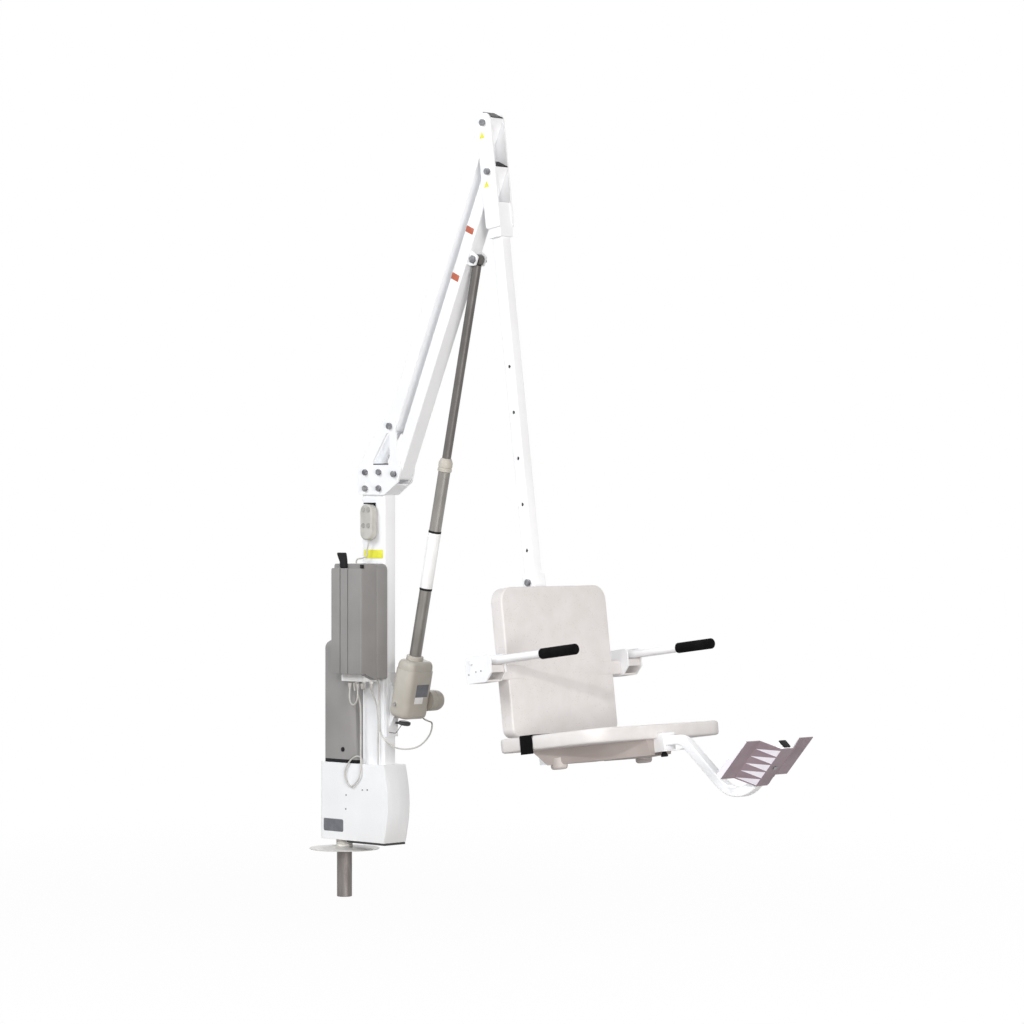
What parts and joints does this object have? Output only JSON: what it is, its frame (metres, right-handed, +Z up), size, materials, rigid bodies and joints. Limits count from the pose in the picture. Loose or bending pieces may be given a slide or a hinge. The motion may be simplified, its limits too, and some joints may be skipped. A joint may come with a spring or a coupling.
{
  "type": "pool patient lift",
  "caption": "Battery pool lift: swivelling base, mast, parallel lifting arms raised by a screw actuator, and a hanging level seat with armrests and footrest.",
  "frame": {"origin": "axis of the anchor post at deck level", "axes": "+X the way the seat faces at rest, +Y to the sitter's left, +Z up along the post"},
  "size_m": [1.945, 0.676, 2.4568],
  "materials": {
    "white_paint": "satin powder coat",
    "dark_paint": "satin",
    "galvanised": "dull grey",
    "bare_steel": "brushed",
    "grey_plastic": "matte",
    "pale_plastic": "matte",
    "beige_plastic": "matte",
    "black_plastic": "matte",
    "bronze": "machined",
    "shell_plastic": "fine grain",
    "foot_paint": "satin",
    "grip_foam": "matte foam",
    "webbing": "woven",
    "cord_jacket": "matte"
  },
  "bodies": {
    "anchor": {"anchor_post": "galvanised", "deck_flange": "white_paint", "swivel_collar": "pale_plastic", "fixed_gear": "bare_steel"},
    "mast": {"lower_bushing": "bronze", "upper_bushing": "bronze", "base_frame": "white_paint", "base_plate": "dark_paint", "base_cover": "white_paint", "base_front_cover": "white_paint", "swivel_gearmotor": "bare_steel", "motor_cover": "grey_plastic", "cover_seal": "black_plastic", "mast_tube": "white_paint", "arm_bracket": "white_paint", "lower_pivot_bolt": "bare_steel", "upper_pivot_bolt": "bare_steel", "actuator_bracket": "white_paint", "actuator_pin": "bare_steel", "pin_lanyard": "dark_paint", "control_box": "grey_plastic", "connector_strip": "pale_plastic", "handset_hook": "black_plastic", "hand_control": "grey_plastic", "handset_cable": "cord_jacket", "motor_cable": "cord_jacket", "swivel_cable": "cord_jacket", "base_lead": "cord_jacket"},
    "pinion": {"drive_pinion": "bare_steel"},
    "battery": {"battery_pack": "grey_plastic"},
    "lever": {"battery_lever": "black_plastic"},
    "button_1": {"push_button_1": "dark_paint"},
    "button_2": {"push_button_2": "dark_paint"},
    "button_3": {"push_button_3": "dark_paint"},
    "button_4": {"push_button_4": "dark_paint"},
    "lower_arm_body": {"lower_arm": "white_paint", "lower_arm_cap": "black_plastic"},
    "upper_arm_body": {"upper_arm": "white_paint", "upper_arm_cap": "black_plastic"},
    "actuator": {"actuator_housing": "beige_plastic", "actuator_motor": "beige_plastic", "actuator_tube": "bare_steel", "actuator_collar": "beige_plastic"},
    "rod": {"actuator_rod": "bare_steel"},
    "hanger": {"hanger_head": "white_paint", "hanger_upper_bolt": "bare_steel", "hanger_lower_bolt": "bare_steel", "hanger_tube": "white_paint", "adjusting_pin": "bare_steel", "seat_frame": "white_paint", "backrest": "shell_plastic", "seat_pan": "shell_plastic", "seat_belt": "webbing"},
    "left_rest": {"armrest_left": "white_paint", "armrest_grip_left": "grip_foam"},
    "right_rest": {"armrest_right": "white_paint", "armrest_grip_right": "grip_foam"},
    "footrest": {"footrest_bar": "white_paint", "footrest_plate": "foot_paint"},
    "knob": {"clamp_knob": "black_plastic"}
  },
  "joints": [
    {"name": "base_swivel", "type": "hinge", "parent": "anchor", "child": "mast", "pos_m": [0, 0, 0], "axis": [0, 0, 1], "continuous": true},
    {"name": "pinion_turn", "type": "hinge", "parent": "mast", "child": "pinion", "pos_m": [0.052, 0, 0.2], "axis": [0, 0, 1], "continuous": true},
    {"name": "lower_arm_hinge", "type": "hinge", "parent": "mast", "child": "lower_arm_body", "pos_m": [0.2622, 0, 1.1961], "axis": [0, -1, 0], "range_deg": [-78, 0]},
    {"name": "upper_arm_hinge", "type": "hinge", "parent": "mast", "child": "upper_arm_body", "pos_m": [0.24231, 0, 1.3472], "axis": [0, -1, 0], "range_deg": [-78, 0]},
    {"name": "hanger_hinge", "type": "hinge", "parent": "lower_arm_body", "child": "hanger", "pos_m": [0.673, 0, 2.11878], "axis": [0, -1, 0], "range_deg": [0, 78]},
    {"name": "actuator_hinge", "type": "hinge", "parent": "mast", "child": "actuator", "pos_m": [0.2894, 0, 0.4748], "axis": [0, -1, 0], "range_deg": [-39.75, 0]},
    {"name": "rod_slide", "type": "slide", "parent": "actuator", "child": "rod", "axis": [0.2194, 0, 0.9756], "range_m": [-0.548, 0]},
    {"name": "battery_slide", "type": "slide", "parent": "mast", "child": "battery", "axis": [0, 0, 1], "range_m": [0, 0.04]},
    {"name": "lever_hinge", "type": "hinge", "parent": "battery", "child": "lever", "pos_m": [0.1385, -0.1331, 0.9053], "axis": [1, 0, 0], "range_deg": [0, 85]},
    {"name": "button_1_press", "type": "slide", "parent": "mast", "child": "button_1", "axis": [0, 1, 0], "range_m": [0, 0.0012], "stiffness_N_per_m": 600, "springref_m": -0.0004},
    {"name": "button_2_press", "type": "slide", "parent": "mast", "child": "button_2", "axis": [0, 1, 0], "range_m": [0, 0.0012], "stiffness_N_per_m": 600, "springref_m": -0.0004},
    {"name": "button_3_press", "type": "slide", "parent": "mast", "child": "button_3", "axis": [0, 1, 0], "range_m": [0, 0.0012], "stiffness_N_per_m": 600, "springref_m": -0.0004},
    {"name": "button_4_press", "type": "slide", "parent": "mast", "child": "button_4", "axis": [0, 1, 0], "range_m": [0, 0.0012], "stiffness_N_per_m": 600, "springref_m": -0.0004},
    {"name": "left_rest_hinge", "type": "hinge", "parent": "hanger", "child": "left_rest", "pos_m": [0.89919, 0.3, 0.63057], "axis": [0, -1, 0], "range_deg": [0, 95]},
    {"name": "right_rest_hinge", "type": "hinge", "parent": "hanger", "child": "right_rest", "pos_m": [0.89919, -0.3, 0.63057], "axis": [0, -1, 0], "range_deg": [0, 95]},
    {"name": "footrest_slide", "type": "slide", "parent": "hanger", "child": "footrest", "axis": [0.9914, 0, 0.1305], "range_m": [-0.014, 0.075]},
    {"name": "knob_turn", "type": "hinge", "parent": "hanger", "child": "knob", "pos_m": [1.36582, 0, 0.36521], "axis": [0.1305, 0, -0.9914], "continuous": true}
  ],
  "couplings": [
    {"joint": "pinion_turn", "follows": "base_swivel", "ratio": 3.3333},
    {"joint": "upper_arm_hinge", "follows": "lower_arm_hinge", "ratio": 1},
    {"joint": "hanger_hinge", "follows": "lower_arm_hinge", "ratio": -1},
    {"joint": "actuator_hinge", "follows": "lower_arm_hinge", "ratio": 0.50955},
    {"joint": "rod_slide", "follows": "lower_arm_hinge", "m_per_rad": 0.40215}
  ]
}
